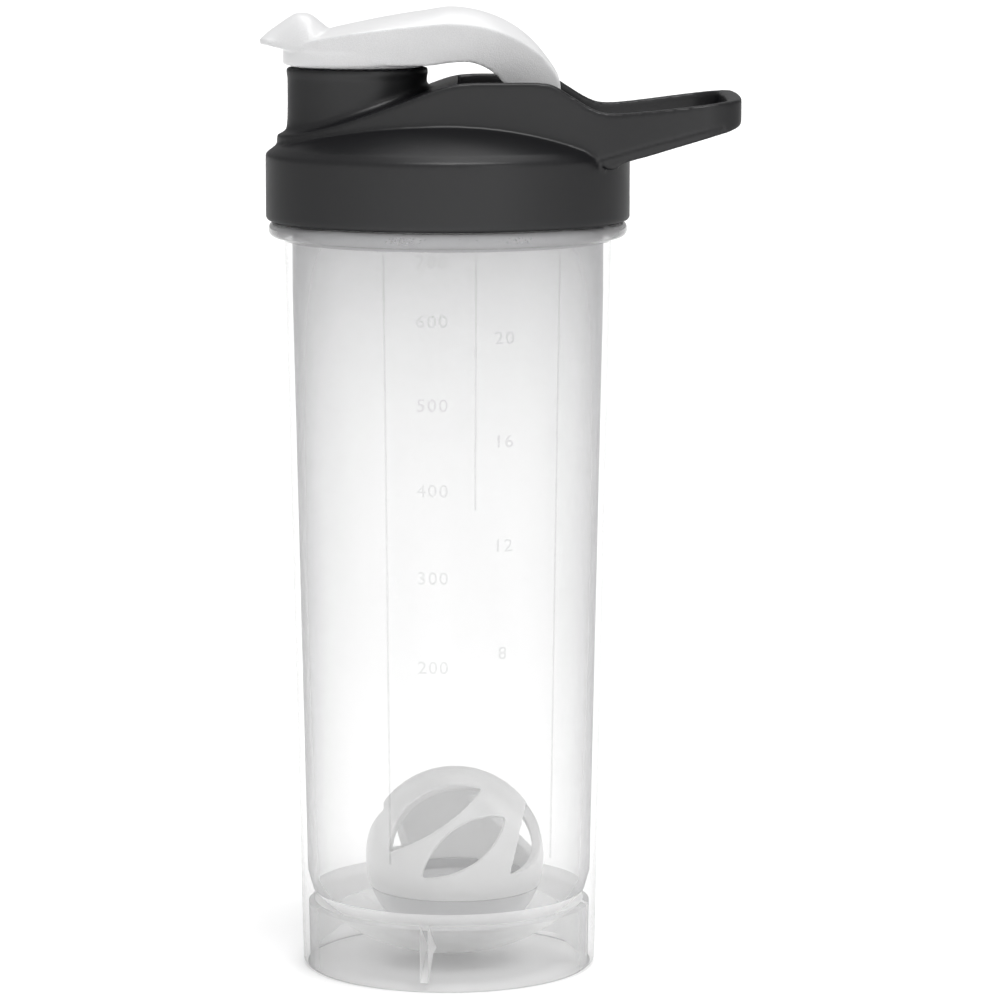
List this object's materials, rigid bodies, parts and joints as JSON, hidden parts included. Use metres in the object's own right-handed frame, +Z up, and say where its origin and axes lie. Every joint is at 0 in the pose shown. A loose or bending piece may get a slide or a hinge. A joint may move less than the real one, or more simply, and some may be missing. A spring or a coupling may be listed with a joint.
{
  "type": "protein shaker bottle",
  "caption": "Tapered see-through drinking bottle with a threaded cap, hinged flip spout, carry loop and a loose slotted mixing ball inside.",
  "frame": {"origin": "middle of the ring the bottle stands on, on the bottle's axis", "axes": "+Z up along the bottle's axis, +X towards the carry loop, the thumb tab points to -X, +Y away from the front"},
  "size_m": [0.1186, 0.09, 0.2399],
  "materials": {
    "clear_pp": "translucent, lightly frosted",
    "charcoal_pp": "satin",
    "silicone": "matte",
    "steel": "ground",
    "white_pp": "satin",
    "soft_white": "matte",
    "ball_white": "satin",
    "ball_clear": "translucent"
  },
  "bodies": {
    "bottle": {"bottle_body": "clear_pp"},
    "gasket": {"lid_gasket": "silicone"},
    "lid": {"lid_shell": "charcoal_pp", "hinge_pin": "steel"},
    "flip": {"flip_cap": "white_pp", "spout_plug": "soft_white"},
    "ball": {"ball_cage": "ball_white", "ball_cup": "ball_clear"}
  },
  "joints": [
    {"name": "lid_lift", "type": "slide", "parent": "bottle", "child": "gasket", "axis": [0, 0, 1], "range_m": [0, 0.0151]},
    {"name": "lid_turn", "type": "hinge", "parent": "gasket", "child": "lid", "pos_m": [0, 0, 0.2], "axis": [0, 0, 1], "range_deg": [0, 900]},
    {"name": "flip_hinge", "type": "hinge", "parent": "lid", "child": "flip", "pos_m": [0.024, 0, 0.217], "axis": [0, 1, 0], "range_deg": [0, 110]},
    {"name": "ball_travel", "type": "slide", "parent": "bottle", "child": "ball", "axis": [0, 0, 1], "range_m": [0, 0.15]}
  ],
  "couplings": [
    {"joint": "lid_lift", "follows": "lid_turn", "m_per_rad": 0.00095493}
  ]
}
